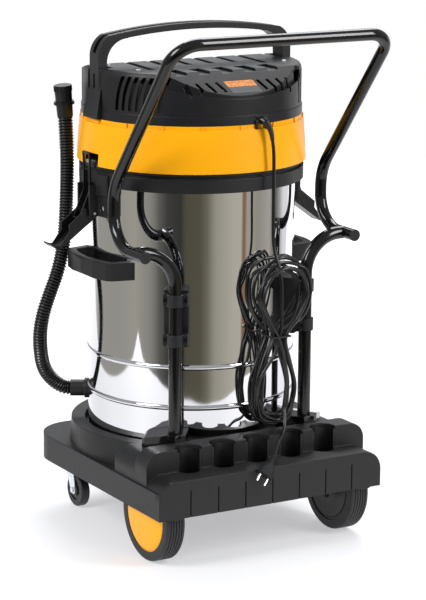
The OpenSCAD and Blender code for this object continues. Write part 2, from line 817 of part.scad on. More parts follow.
module drain_fitting() {
    reach = norm([hose_route[0][0], hose_route[0][1]]) - drain_start;
    color([0.1, 0.1, 0.11]) placed() difference() {
        at_drain() difference() {
            union() {
                cylinder(r = 22, h = 43);
                cylinder(r = hose_d / 2 + 2, h = reach + 8);
            }
            translate([0, 0, -1]) cylinder(r = drain_bore_r, h = reach + 20);
            translate([0, 0, reach - 2]) cylinder(r = hose_d / 2, h = 20);
        }
        // Space taken by the tank and its lower bead
        translate([0, 0, tank_bottom_z]) cylinder(r = tank_r, h = 150);
        translate([0, 0, bead_heights[0]]) rotate_extrude($fn = 180)
            translate([tank_r - 4, 0]) circle(r = 7);
    }
}

module drain_hose() {
    color([0.07, 0.07, 0.075]) placed()
        swept_tube(smooth_route(hose_route, 2), hose_d / 2, 12, [0.2, 1, 0.1]);
}

hose_end = hose_route[len(hose_route) - 1];
cuff_l = 66;
cuff_turn = [2, -6, 0];

module at_cuff() {
    placed() translate(hose_end) rotate(cuff_turn) children();
}

module drain_cuff() {
    color([0.08, 0.08, 0.085]) at_cuff() difference() {
        union() {
            cylinder(r1 = 17, r2 = 18.5, h = cuff_l - 14);
            translate([0, 0, cuff_l - 14]) cylinder(r = 16, h = 10);
            translate([0, 0, 31]) cylinder(r = 21, h = 2.5);
        }
        translate([0, 0, 4]) cylinder(r = 13, h = cuff_l);
    }
}

module drain_cap() {
    color([0.09, 0.09, 0.095]) at_cuff() translate([0, 0, cuff_l - 13.6]) {
        rib_count = 16;
        difference() {
            union() {
                cylinder(r = 18.5, h = 16);
                for (i = [0 : rib_count - 1])
                    rotate(360 / rib_count * i) translate([18, -1.2, 3]) cube([1.8, 2.4, 12]);
            }
            translate([0, 0, -1]) cylinder(r = 16 + gap, h = 11);
        }
    }
}

module cap_tether() {
    color([0.08, 0.08, 0.085]) at_cuff() {
        translate([-2.5, -24, 27]) cube([5, 1.8, 37]);
        difference() {
            translate([0, 0, 27]) cylinder(r = 22.4, h = 4);
            translate([0, 0, 26]) cylinder(r = 18.4, h = 6);
        }
    }
}

// ---- Head ----

module ring_notch() {
    mirrored_pair() translate([200, -34, ring_foot_z - 1]) cube([80, 68, 27]);
}

module head_ring() {
    rib_count = 18;
    color([0.98, 0.68, 0.04]) placed() difference() {
        union() {
            rotate_extrude($fn = 180) polygon([
                [ring_foot_r, ring_foot_z], [ring_foot_r, ring_foot_z + 4], [ring_top_r, ring_top_z - 10],
                [ring_top_r - 4, ring_top_z - 9], [ring_top_r - 4, ring_top_z], [ring_top_r - 9, ring_top_z],
                [ring_top_r - 9, ring_top_z - 12], [base_r, ring_foot_z + 8],
                [base_r, ring_foot_z]]);
            for (i = [0 : rib_count - 1])
                rotate(360 / rib_count * i + 6) translate([ring_top_r - 5, -1.5, ring_top_z - 10.5])
                    cube([4.5, 3, 10]);
        }
        ring_notch();
        // Upright groove under the cord outlet
        rotate(-85) translate([ring_foot_r + 1, -4, ring_foot_z - 1]) cube([6, 8, 120]);
    }
}

// Turned outline of the cover: foot lip, upright band, then a rounded shoulder
function cover_profile(inset) = concat(
    [[0, cover_lip_z0 - (inset > 0 ? 1 : 0)], [cover_lip_r - inset, cover_lip_z0 - (inset > 0 ? 1 : 0)],
        [cover_lip_r - inset, cover_lip_z1 - inset]],
    [[cover_r - inset, cover_lip_z1 - inset]],
    [for (a = [0 : 30 : 90])
        [cover_top_r - inset + (cover_r - cover_top_r) * cos(a),
            cover_shoulder_z - inset + (cover_top_z - cover_shoulder_z) * sin(a)]],
    [[0, cover_top_z - inset]]);

// Round body with its front sloping down from the ridge and its back cut away above the crescent
module cover_solid(inset) {
    difference() {
        rotate_extrude($fn = 180) polygon(cover_profile(inset));
        front_slope(inset);
        difference() {
            rear_crescent(inset);
            rear_face(inset);
        }
    }
}

module along_x(width) {
    translate([-width / 2, 0, 0]) rotate([90, 0, 90]) linear_extrude(width) children();
}

module front_slope(inset) {
    along_x(500) translate([0, -inset])
        polygon([[ridge_y, cover_top_z], [260, front_z - 6], [260, 1040], [ridge_y, 1040]]);
}

// Everything above the crescent's lower edge, behind the top's back edge
module rear_crescent(inset) {
    translate([0, cover_back_y - inset, 0]) rotate([90, 0, 0]) linear_extrude(120)
        translate([0, crescent_z - inset + crescent_r]) circle(r = crescent_r, $fn = 360);
}

// The sloping face that stands behind the crescent's shelf
module rear_face(inset) {
    intersection() {
        cylinder(r = cover_r - shelf_w - inset, h = 1100);
        along_x(500) polygon([[-300, 900], [0, 900], [0, 1100], [cover_back_y + inset, 1100],
            [cover_back_y + inset, cover_top_z], [-240, cover_top_z - (240 + cover_back_y) * rear_slope - inset]]);
    }
}

// Long slots running back from the ridge, then short ones that open at the back edge
module top_louvres() {
    pitch = 55;
    slant = 5;
    slot_w = 15;
    slot_depth = 7;
    for (i = [-2.5 : 2.5]) {
        slot_l = abs(i) > 2 ? 138 : 98;
        translate([i * pitch - slot_w / 2, ridge_y, cover_top_z - slot_depth]) rotate(-slant)
            translate([0, -slot_l, 0]) cube([slot_w, slot_l + 30, 20]);
    }
    for (i = [-2 : 2])
        translate([i * pitch - 2, cover_back_y, cover_top_z - 6])
            linear_extrude(20) polygon([[-24, 38], [6, 46], [4, -30], [-20, -30]]);
}

// Gaps between the curved vanes on both flanks
module side_louvres() {
    gap_w = 8;
    gap_h = 72;
    curve_r = 150;
    for (side = [0, 1]) mirror([side, 0, 0]) for (end = [-1, 1]) for (i = [0 : 6])
        rotate(end * (19 + 4.2 * i)) translate([cover_r - 12, 0, 928]) rotate([90, 0, 90])
            linear_extrude(30) intersection() {
                translate([end * (curve_r + gap_w / 2), 0]) difference() {
                    circle(r = curve_r + gap_w, $fn = 120);
                    circle(r = curve_r, $fn = 120);
                }
                translate([-40, 0]) square([80, gap_h]);
            }
}

// Slanted slots on the back face, either side of the plate, shorter where the crescent rises
module rear_louvres() {
    slot_w = 8;
    for (x = [-124, -101, -77, -53, 46, 69, 92, 115]) {
        slot_l = abs(x) > 100 ? 25 : abs(x) > 80 ? 29 : 33;
        on_rear_face(x, -191) rotate(22) translate([-slot_w / 2, -slot_l - 2, -20])
            cube([slot_w, slot_l, 21]);
    }
}

module head_cover() {
    color([0.14, 0.14, 0.15]) placed() difference() {
        cover_solid(0);
        cover_solid_inside();
        top_louvres();
        side_louvres();
        rear_louvres();
        // Seats for the two handle columns
        mirrored_pair() translate([cover_flats / 2 + 2, -32, cover_lip_z0 - 2]) cube([60, 64, 200]);
        plate_shape(20);
        // Cord outlet
        translate([32 - gland_r, -cover_lip_r - 10, cover_lip_z0 - 1])
            cube([2 * gland_r, 30, 2 * gland_r + 1]);
        at_cover_screws() translate([0, 0, -10]) cylinder(r = 2.5, h = 20, $fn = small_fn);
    }
}

module cover_solid_inside() {
    intersection() {
        cover_solid(cover_wall);
        cylinder(r = 300, h = cover_top_z - 10);
    }
}

// Arch over the head, drawn in the XZ plane
module arch_outline(half_w, top_z, crown_r, corner_r, foot_z) {
    intersection() {
        translate([-half_w, foot_z]) square([2 * half_w, top_z - foot_z]);
        translate([0, top_z - crown_r]) circle(r = crown_r, $fn = 360);
        union() {
            translate([-half_w, foot_z]) square([2 * half_w, top_z - 62 - foot_z]);
            translate([-half_w + corner_r, foot_z]) square([2 * half_w - 2 * corner_r, top_z - foot_z]);
            for (side = [-1, 1])
                translate([side * (half_w - corner_r), top_z - 62]) circle(r = corner_r);
        }
    }
}

module carry_handle() {
    half_w = 236;
    depth = 41;
    crown_t = 12;
    arm_t = 20;
    foot_z = ring_top_z;
    seam_z = cover_top_z - 4;
    color([0.12, 0.12, 0.13]) placed() {
        difference() {
            translate([0, depth / 2, 0]) rotate([90, 0, 0]) linear_extrude(depth) difference() {
                arch_outline(half_w, carry_top_z, 1250, 50, seam_z);
                translate([0, -1]) arch_outline(half_w - arm_t, carry_top_z - crown_t, 1250, 50, seam_z - 10);
            }
            // Groove along the crown
            translate([0, 7, 0]) rotate([90, 0, 0]) linear_extrude(14) difference() {
                arch_outline(half_w + 1, carry_top_z + 1, 1250, 50, cover_top_z + 30);
                translate([0, -1]) arch_outline(half_w - 7, carry_top_z - 5, 1250, 46, seam_z - 20);
            }
        }
        // Columns that widen towards the yellow ring
        mirrored_pair() difference() {
            translate([0, 0, foot_z]) linear_extrude(seam_z - foot_z)
                polygon([[cover_flats / 2 + 2 + gap, -27], [half_w - 6, -27], [half_w, -20], [half_w, 20],
                    [half_w - 6, 27], [cover_flats / 2 + 2 + gap, 27]]);
            translate([half_w - 3, -4, foot_z + 20]) cube([10, 8, seam_z - foot_z - 30]);
        }
        mirrored_pair() hull() {
            translate([cover_flats / 2 + 3, -31, foot_z]) cube([half_w + 10 - cover_flats / 2 - 3, 62, 6]);
            translate([cover_flats / 2 + 3, -26, foot_z + 60]) cube([half_w - cover_flats / 2 - 4, 52, 2]);
        }
    }
}

// Moves to a point on the sloping back face, with Y up the slope and Z out of it
module on_rear_face(x, y) {
    translate([x, y, cover_top_z + (y - cover_back_y) * rear_slope]) rotate([atan(rear_slope), 0, 0])
        children();
}

module plate_shape(thickness) {
    on_rear_face(2, -191) translate([0, 0, -plate_t]) linear_extrude(thickness)
        polygon([[-36, 0], [34, 0], [43, -plate_h], [-27, -plate_h]]);
}

module rating_plate() {
    color([0.75, 0.76, 0.78]) placed() plate_shape(plate_t);
}

module head_base() {
    color([0.07, 0.07, 0.075]) placed() {
        difference() {
            ring_solid(base_r, 30, ring_foot_z - 6, ring_foot_z + 4);
            // Slots for the bails' legs
            for (side = [-1, 1]) for (s = [-1, 1])
                translate([side * (latch_flat_x + 10) - 10, s * 13.5 - 3.5, ring_foot_z - 7])
                    cube([20, 7, 12]);
        }
        for (i = [0 : 2])
            rotate(120 * i + 30) translate([104, 0, ring_foot_z + 4 - eps]) ring_solid(76, 70, 0, 14);
    }
}

module head_gasket() {
    color([0.05, 0.05, 0.05]) placed()
        ring_solid(tank_r + 11, tank_r + 3, collar_z1 - 4.5, ring_foot_z - 6);
}

module latch_keepers() {
    keeper_w = 18;
    color([0.6, 0.6, 0.62]) placed() mirrored_pair()
        translate([base_r - 6, keeper_w / 2, ring_foot_z + 4]) rotate([90, 0, 0]) linear_extrude(keeper_w)
            polygon([[0, 0], [15.1, 0], [15.1, 7], [13.1, 7], [13.1, 4], [0, 4]]);
}

motor_r = 104;

module at_motor(i) {
    rotate(120 * i + 30) translate([motor_r, 0, ring_foot_z + 4]) children();
}

module motor_cans() {
    color([0.55, 0.56, 0.58]) placed() for (i = [0 : 2]) at_motor(i) difference() {
        union() {
            cylinder(r = 69.5, h = 60);
            translate([0, 0, 59]) cylinder(r = 48, h = 86);
            translate([0, 0, 144]) cylinder(r = 22, h = 10);
        }
        translate([0, 0, -1]) cylinder(r = 66, h = 57);
        translate([0, 0, 62]) cylinder(r = 44, h = 79);
        translate([0, 0, 30]) cylinder(r = 8, h = 200);
    }
}

module impeller(i) {
    blade_count = 8;
    color([0.8, 0.81, 0.83]) placed() at_motor(i) {
        translate([0, 0, 10]) cylinder(r = 62, h = 2);
        translate([0, 0, 1]) cylinder(r = 10, h = 33);
        for (k = [0 : blade_count - 1])
            rotate(360 / blade_count * k) translate([9, -1, 11]) cube([52, 2, 14]);
        translate([0, 0, 30]) cylinder(r = 8 - run, h = 118);
    }
}

module float_cage() {
    cage_r = 58;
    bar_count = 10;
    z1 = ring_foot_z - 6;
    z0 = z1 - 104;
    color([0.2, 0.2, 0.22]) placed() {
        ring_solid(cage_r, 30, z1 - 5, z1);
        translate([0, 0, z0]) ring_solid(cage_r, 18, 0, 4);
        for (i = [0 : bar_count - 1])
            rotate(360 / bar_count * i) translate([cage_r - 5, -3, z0 + 3]) cube([5, 6, z1 - z0 - 7]);
    }
}

float_r = 36;

module float_ball() {
    color([0.92, 0.92, 0.9]) placed() translate([0, 0, ring_foot_z - 110 + 4 + 32]) sphere(r = float_r);
}

module filter_bag() {
    z1 = ring_foot_z - 6;
    color([0.88, 0.87, 0.82]) placed() rotate_extrude($fn = 120) polygon([
        [tank_r - 11, z1], [tank_r - 13, z1 - 6], [tank_r - 16, z1 - 20], [130, z1 - 160], [60, z1 - 172],
        [0, z1 - 172], [0, z1 - 168], [60, z1 - 168], [128, z1 - 156], [tank_r - 20, z1 - 18],
        [tank_r - 30, z1 - 3], [tank_r - 30, z1]]);
}

module switch_panel() {
    color([0.2, 0.2, 0.22]) placed() rotate(90) difference() {
        intersection() {
            ring_solid(cover_r + 4, cover_r, 928, 962);
            translate([cover_r - 30, -62, 920]) cube([60, 124, 60]);
        }
        for (i = [-1, 0, 1])
            translate([cover_r - 10, 38 * i - 11.3, 945 - 8.3]) cube([40, 22.6, 16.6]);
    }
}

module rocker(i) {
    color([0.7, 0.08, 0.06]) placed() rotate(90) translate([cover_r - 0.8, 38 * i, 945])
        rotate([90, 0, 0]) translate([0, 0, -11]) linear_extrude(22)
            polygon([[2, -7.6], [6, -7.6], [4.6, 0], [8, 7.4], [3, 7.6]]);
}

// ---- Mains cord ----

module cord_gland() {
    color([0.06, 0.06, 0.065]) placed() {
        translate([32, -cover_lip_r + 8, cover_lip_z0 + gland_r]) rotate([90, 0, 0])
            cylinder(r = gland_r, h = 10);
        // Boot that tapers down to the cord
        boot = [[32, -243, 911], [36, -251, 907], [42, -255, 895], [46, -256, 882], [48, -256, 872]];
        radii = [7.5, 7, 6.2, 5.2, 4.3];
        for (i = [0 : len(boot) - 2]) hull() {
            translate(boot[i]) sphere(r = radii[i], $fn = 16);
            translate(boot[i + 1] + (i == len(boot) - 2 ? [0, 0, radii[i + 1]] : [0, 0, 0]))
                sphere(r = radii[i + 1], $fn = 16);
        }
    }
}

module power_cord() {
    color([0.05, 0.05, 0.055]) placed() {
        swept_tube(smooth_route(cord_lead, 3), cord_d / 2, 8, [0, 1, 0.1]);
        swept_tube(smooth_route(cord_tail, 3), cord_d / 2, 8, [0.3, 0.2, 1]);
    }
}

// Outer shape of the tied hank: a wide upper bulge, a waist and a narrower lower bulge
module cord_hank() {
    hank_y0 = -289;
    hank_y1 = -231;
    color([0.06, 0.06, 0.065]) placed() translate([0, hank_y1, 0]) rotate([90, 0, 0])
        linear_extrude(hank_y1 - hank_y0) difference() {
            union() {
                translate([60, 548]) circle(r = 74);
                translate([54, 318]) circle(r = 54);
                translate([54, 290]) circle(r = 46);
                polygon([[-10, 520], [36, 455], [6, 335], [102, 335], [76, 455], [130, 520]]);
            }
        }
}

module cord_tie() {
    color([0.3, 0.3, 0.32]) placed() translate([33, -292, 453.5]) difference() {
        cube([46, 64, 3]);
        translate([3, 3, -1]) cube([40, 58, 5]);
    }
}

module at_plug() {
    end = cord_tail[len(cord_tail) - 1];
    placed() translate(end) rotate([plug_turn[0], 0, 0]) rotate([0, plug_turn[1] + 180, 0]) children();
}

module plug_body() {
    color([0.05, 0.05, 0.055]) at_plug() {
        cylinder(r1 = cord_d / 2 + 0.5, r2 = 6.5, h = 18, $fn = small_fn);
        hull() {
            translate([0, 0, 18]) cylinder(r = 8, h = 2, $fn = small_fn);
            translate([-9.5, 0, 36]) cylinder(r = 8, h = 14, $fn = small_fn);
            translate([9.5, 0, 36]) cylinder(r = 8, h = 14, $fn = small_fn);
        }
    }
}

module plug_pins() {
    color([0.85, 0.85, 0.86]) at_plug() for (s = [-1, 1])
        translate([s * 9.5, 0, 50]) cylinder(r = 2.4, h = 19, $fn = small_fn);
}

module at_cover_screws() {
    for (spot = [[178, -88], [192, 22]])
        mirrored_pair() translate([spot[0], spot[1], cover_top_z]) children();
}

module cover_screws() {
    color([0.5, 0.5, 0.52]) placed() at_cover_screws() {
        difference() {
            cylinder(r = 5, h = 2, $fn = small_fn);
            translate([-4, -0.6, 1]) cube([8, 1.2, 2]);
        }
        translate([0, 0, -10]) cylinder(r = 2.5, h = 10 + eps, $fn = small_fn);
    }
}

trolley_base();
tool_cups();
rear_axle();
color([0.98, 0.68, 0.04]) at_wheel(-1) hub_shape();  // hub_left
color([0.98, 0.68, 0.04]) at_wheel(1) hub_shape();  // hub_right
color([0.1, 0.1, 0.11]) at_wheel(-1) tyre_shape();  // tyre_left
color([0.1, 0.1, 0.11]) at_wheel(1) tyre_shape();  // tyre_right
castor_plates();
castor_fork(-1);  // castor_fork_left
castor_fork(1);  // castor_fork_right
castor_wheel(-1);  // castor_wheel_left
castor_wheel(1);  // castor_wheel_right
castor_axle(-1);  // castor_axle_left
castor_axle(1);  // castor_axle_right
rear_posts();
post_feet();
post_clamps();
push_handle();
handle_caps();
tank();
tank_collar();
side_grips();
latch_brackets();
color([0.12, 0.12, 0.13]) placed() mirror([1, 0, 0]) latch_lever();  // latch_lever_left
color([0.12, 0.12, 0.13]) placed() latch_lever();  // latch_lever_right
color([0.1, 0.1, 0.1]) placed() mirror([1, 0, 0]) latch_bail();  // latch_bail_left
color([0.1, 0.1, 0.1]) placed() latch_bail();  // latch_bail_right
latch_pins();
tank_screws();
hose_inlet();
drain_fitting();
drain_hose();
drain_cuff();
drain_cap();
cap_tether();
head_ring();
head_cover();
carry_handle();
rating_plate();
head_base();
head_gasket();
latch_keepers();
motor_cans();
impeller(0);  // impeller_1
impeller(1);  // impeller_2
impeller(2);  // impeller_3
float_cage();
float_ball();
filter_bag();
switch_panel();
rocker(-1);  // switch_1
rocker(0);  // switch_2
rocker(1);  // switch_3
cord_gland();
power_cord();
cord_hank();
cord_tie();
plug_body();
plug_pins();
cover_screws();
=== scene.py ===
"""Wet and dry vacuum on a trolley: camera, cords, detailed pieces and materials.

Metres, +Z up, -Y the operator's side, where the push handle and the tool rack are.
"""
import json
import math

import bmesh
import bpy
from mathutils import Matrix, Vector


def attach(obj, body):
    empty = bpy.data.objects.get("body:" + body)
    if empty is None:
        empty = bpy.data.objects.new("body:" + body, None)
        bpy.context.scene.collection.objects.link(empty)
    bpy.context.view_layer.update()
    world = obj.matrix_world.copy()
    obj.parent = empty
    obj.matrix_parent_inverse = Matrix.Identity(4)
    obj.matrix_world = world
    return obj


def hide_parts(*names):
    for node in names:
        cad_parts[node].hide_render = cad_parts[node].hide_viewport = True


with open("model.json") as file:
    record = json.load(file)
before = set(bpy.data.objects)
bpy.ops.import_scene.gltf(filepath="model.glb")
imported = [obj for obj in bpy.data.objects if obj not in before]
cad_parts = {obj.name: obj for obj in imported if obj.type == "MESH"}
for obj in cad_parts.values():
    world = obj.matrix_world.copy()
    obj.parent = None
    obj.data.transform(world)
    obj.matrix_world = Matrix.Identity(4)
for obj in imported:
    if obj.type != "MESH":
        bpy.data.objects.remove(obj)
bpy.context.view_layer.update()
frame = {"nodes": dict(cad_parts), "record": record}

MM = 0.001
TANK_Y = 53.4192          # the tank's axis, mm in +Y from the frame's origin

# The view: azimuth off the tool rack's middle, downward pitch, roll, and the eye in mm about the tank's axis
VIEW_AZ, VIEW_PITCH, VIEW_ROLL = math.radians(30.26), math.radians(12.68), math.radians(0.43)
EYE = (-2583.34, -4525.77, 1656.55)
SENSOR_MM = 36
FOCAL_HEIGHTS = 4.05923   # focal length over the picture's height
TO_VIEWER = (-math.sin(VIEW_AZ), -math.cos(VIEW_AZ), 0)
TO_RIGHT = (math.cos(VIEW_AZ), -math.sin(VIEW_AZ), 0)


def P(x, y, z):
    """A point given in millimetres about the tank's axis, in the frame's metres."""
    return Vector((x * MM, (y + TANK_Y) * MM, z * MM))


# ---------------------------------------------------------------- camera
def make_camera():
    right, ahead, top = Vector(TO_RIGHT), -Vector(TO_VIEWER), Vector((0, 0, 1))
    up = top * math.cos(VIEW_PITCH) + ahead * math.sin(VIEW_PITCH)
    look = ahead * math.cos(VIEW_PITCH) - top * math.sin(VIEW_PITCH)
    cam_x = right * math.cos(VIEW_ROLL) + up * math.sin(VIEW_ROLL)
    cam_y = -right * math.sin(VIEW_ROLL) + up * math.cos(VIEW_ROLL)
    rot = Matrix((cam_x, cam_y, -look)).transposed()
    data = bpy.data.cameras.new("camera")
    data.sensor_fit = "VERTICAL"
    data.sensor_height = SENSOR_MM
    data.lens = SENSOR_MM * FOCAL_HEIGHTS
    data.clip_end = 60
    cam = bpy.data.objects.new("camera", data)
    cam.matrix_world = Matrix.Translation(P(*EYE)) @ rot.to_4x4()
    bpy.context.scene.collection.objects.link(cam)
    bpy.context.scene.camera = cam


make_camera()


# ---------------------------------------------------------------- materials
def material(name, color, rough, metal=0.0, spec=0.5, coat=0.0, coat_rough=0.1, tint=0.12,
             tint_scale=40.0, rough_span=0.08, bump=0.15, bump_scale=900.0, bump_mm=0.05,
             stretch=(1, 1, 1), sheen=0.0, edge_mm=0.0):
    """Principled material whose colour, roughness and relief vary with noise; edge_mm rounds the edges."""
    m = bpy.data.materials.new(name)
    m.use_nodes = True
    nt = m.node_tree
    b = nt.nodes["Principled BSDF"]
    b.inputs["Metallic"].default_value = metal
    b.inputs["Specular IOR Level"].default_value = spec
    b.inputs["Coat Weight"].default_value = coat
    b.inputs["Coat Roughness"].default_value = coat_rough
    b.inputs["Sheen Weight"].default_value = sheen
    coord = nt.nodes.new("ShaderNodeTexCoord")
    mapping = nt.nodes.new("ShaderNodeMapping")
    mapping.inputs["Scale"].default_value = stretch
    nt.links.new(coord.outputs["Object"], mapping.inputs["Vector"])

    def noise(scale, detail):
        n = nt.nodes.new("ShaderNodeTexNoise")
        n.inputs["Scale"].default_value = scale
        n.inputs["Detail"].default_value = detail
        nt.links.new(mapping.outputs["Vector"], n.inputs["Vector"])
        return n

    broad = noise(tint_scale, 4)
    ramp = nt.nodes.new("ShaderNodeValToRGB")
    dark = [c * (1 - tint) for c in color]
    light = [min(1, c * (1 + tint)) for c in color]
    ramp.color_ramp.elements[0].position = 0.32
    ramp.color_ramp.elements[1].position = 0.68
    ramp.color_ramp.elements[0].color = (*dark, 1)
    ramp.color_ramp.elements[1].color = (*light, 1)
    nt.links.new(broad.outputs["Fac"], ramp.inputs["Fac"])
    nt.links.new(ramp.outputs["Color"], b.inputs["Base Color"])
    patch = noise(tint_scale * 2.3, 5)
    span = nt.nodes.new("ShaderNodeMapRange")
    span.inputs["To Min"].default_value = max(0.0, rough - rough_span)
    span.inputs["To Max"].default_value = min(1.0, rough + rough_span)
    nt.links.new(patch.outputs["Fac"], span.inputs["Value"])
    nt.links.new(span.outputs["Result"], b.inputs["Roughness"])
    if bump:
        fine = noise(bump_scale, 3)
        relief = nt.nodes.new("ShaderNodeBump")
        relief.inputs["Strength"].default_value = bump
        relief.inputs["Distance"].default_value = bump_mm * MM
        nt.links.new(fine.outputs["Fac"], relief.inputs["Height"])
        if edge_mm:
            edge = nt.nodes.new("ShaderNodeBevel")
            edge.samples = 4
            edge.inputs["Radius"].default_value = edge_mm * MM
            nt.links.new(edge.outputs["Normal"], relief.inputs["Normal"])
        nt.links.new(relief.outputs["Normal"], b.inputs["Normal"])
    return m


MAT = {
    "trolley_plastic": material("moulded_black", (0.0085, 0.0087, 0.0092), 0.46, spec=0.36, bump=0.35,
                                bump_scale=1100, bump_mm=0.08, edge_mm=3.5),
    "cup_plastic": material("cup_black", (0.0035, 0.0035, 0.004), 0.42, bump=0.2),
    "zinc": material("zinc_plate", (0.78, 0.80, 0.84), 0.30, metal=0.75, tint=0.1, tint_scale=90,
                     rough_span=0.12, bump=0.1, edge_mm=0.6),
    "yellow_plastic": material("yellow_plastic", (0.93, 0.40, 0.0012), 0.32, spec=0.30, tint=0.03,
                               tint_scale=12, rough_span=0.05, bump=0.12, bump_scale=700, edge_mm=1.5),
    "tyre": material("tyre_rubber", (0.010, 0.010, 0.011), 0.55, bump=0.4, bump_scale=800, bump_mm=0.1,
                     tint=0.2, edge_mm=0.8),
    "castor_tread": material("castor_rubber", (0.010, 0.010, 0.012), 0.45, bump=0.25, tint=0.2,
                             edge_mm=1.0),
    "black_tube": material("powder_coat", (0.0028, 0.0028, 0.003), 0.11, spec=0.42, bump=0.05,
                           bump_scale=350, rough_span=0.03, edge_mm=1.5),
    "black_steel": material("black_steel", (0.006, 0.006, 0.007), 0.33, spec=0.45, bump=0.15, edge_mm=0.8),
    "polished_steel": material("mirror_steel", (0.69, 0.69, 0.705), 0.04, metal=1.0, tint=0.015,
                               tint_scale=5, rough_span=0.02, bump=0.05, bump_scale=7, bump_mm=0.5,
                               stretch=(1, 1, 0.22)),
    "hose": material("hose_plastic", (0.0045, 0.0045, 0.005), 0.25, spec=0.5, bump=0.1, rough_span=0.06),
    "cover_plastic": material("cover_black", (0.0080, 0.0084, 0.0098), 0.38, spec=0.34, bump=0.3,
                              bump_scale=1300, bump_mm=0.06, edge_mm=2.0),
    "plate": material("plate_print", (0.62, 0.20, 0.02), 0.4, bump=0.1, tint=0.6, tint_scale=260),
    "seal": material("seal_rubber", (0.008, 0.008, 0.008), 0.7, bump=0.3),
    "motor_steel": material("motor_steel", (0.42, 0.43, 0.45), 0.4, metal=1.0, bump=0.15),
    "fan_metal": material("fan_metal", (0.7, 0.71, 0.73), 0.3, metal=1.0, bump=0.15),
    "cage_plastic": material("cage_plastic", (0.03, 0.03, 0.033), 0.5, bump=0.2, edge_mm=1.0),
    "float_plastic": material("float_plastic", (0.75, 0.75, 0.70), 0.3, coat=0.3, bump=0.08),
    "filter_cloth": material("filter_cloth", (0.66, 0.64, 0.56), 0.9, bump=0.8, bump_scale=600, bump_mm=0.3,
                             sheen=0.3),
    "switch_red": material("switch_red", (0.5, 0.02, 0.015), 0.3, coat=0.4, bump=0.08, edge_mm=0.6),
    "cord_rubber": material("cord_rubber", (0.0042, 0.0042, 0.0048), 0.30, spec=0.5, bump=0.12,
                            bump_scale=1500, rough_span=0.06),
    "tie": material("tie_rubber", (0.008, 0.008, 0.008), 0.5, bump=0.2),
    "plug_metal": material("plug_metal", (0.82, 0.81, 0.79), 0.18, metal=1.0, bump=0.05),
}


def two_tone(name, like, color, axis, limit, mirrored=False):
    """A copy of a material that has another colour where the object coordinate along axis is below limit."""
    m = MAT[like].copy()
    m.name = name
    nt = m.node_tree
    b = nt.nodes["Principled BSDF"]
    coord = next(n for n in nt.nodes if n.bl_idname == "ShaderNodeTexCoord")
    split = nt.nodes.new("ShaderNodeSeparateXYZ")
    nt.links.new(coord.outputs["Object"], split.inputs[0])
    value = split.outputs[axis]
    if mirrored:
        size = nt.nodes.new("ShaderNodeMath")
        size.operation = "ABSOLUTE"
        nt.links.new(value, size.inputs[0])
        value = size.outputs[0]
    step = nt.nodes.new("ShaderNodeMapRange")
    step.inputs["From Min"].default_value = limit - 0.0004
    step.inputs["From Max"].default_value = limit + 0.0004
    nt.links.new(value, step.inputs["Value"])
    mix = nt.nodes.new("ShaderNodeMix")
    mix.data_type = "RGBA"
    mix.inputs[6].default_value = (*color, 1)
    nt.links.new(step.outputs["Result"], mix.inputs["Factor"])
    nt.links.new(b.inputs["Base Color"].links[0].from_socket, mix.inputs[7])
    nt.links.new(mix.outputs[2], b.inputs["Base Color"])
    return m


def finish_piece(o, body, slot, smooth=35):
    """Material, smooth shading up to an angle in degrees, body and slot for a new piece."""
    if o.type == "MESH":
        o.data.materials.append(MAT[slot])
        for p in o.data.polygons:
            p.use_smooth = True
        o.data.set_sharp_from_angle(angle=math.radians(smooth))
    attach(o, body)
    return o


def mesh_object(name, verts, faces):
    me = bpy.data.meshes.new(name)
    me.from_pydata([tuple(v) for v in verts], [], faces)
    me.update()
    o = bpy.data.objects.new(name, me)
    bpy.context.scene.collection.objects.link(o)
    return o


def from_bmesh(name, bm):
    """A mesh object made from bm, with its faces turned outwards."""
    bmesh.ops.recalc_face_normals(bm, faces=bm.faces)
    me = bpy.data.meshes.new(name)
    bm.to_mesh(me)
    bm.free()
    o = bpy.data.objects.new(name, me)
    bpy.context.scene.collection.objects.link(o)
    return o


# ---------------------------------------------------------------- cords
def smooth_route(route, steps):
    """The same Catmull-Rom curve as the CAD's: steps points for each leg of the route."""
    pts = [Vector(p) for p in route]
    out = []
    for i in range(len(pts) - 1):
        a = 2 * pts[0] - pts[1] if i == 0 else pts[i - 1]
        b, c = pts[i], pts[i + 1]
        d = 2 * pts[-1] - pts[-2] if i == len(pts) - 2 else pts[i + 2]
        for k in range(steps):
            t = k / steps
            out.append(0.5 * (2 * b + (c - a) * t + (2 * a - 5 * b + 4 * c - d) * t * t
                              + (3 * b - a - 3 * c + d) * t * t * t))
    out.append(pts[-1])
    return out


def curve_cord(name, points, diameter, body, slot):
    """Round cord as one open spline."""
    cu = bpy.data.curves.new(name, "CURVE")
    cu.dimensions = "3D"
    cu.bevel_depth = diameter / 2
    cu.bevel_resolution = 5
    cu.use_fill_caps = True
    sp = cu.splines.new("POLY")
    sp.points.add(len(points) - 1)
    for q, v in zip(sp.points, points):
        q.co = (*v, 1)
    sp.use_smooth = True
    cu.materials.append(MAT[slot])
    o = bpy.data.objects.new(name, cu)
    bpy.context.scene.collection.objects.link(o)
    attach(o, body)
    return o


CORD_D = 7.5
CORD_LEAD = [(48, -256, 872), (50, -259, 840), (50, -260, 780), (50, -260, 720), (51, -260, 660)]
CORD_TAIL = [(72, -278, 303), (70, -284, 287), (65, -292, 269), (58, -301, 255), (44, -312, 243),
             (22, -333, 233), (2, -353, 217)]


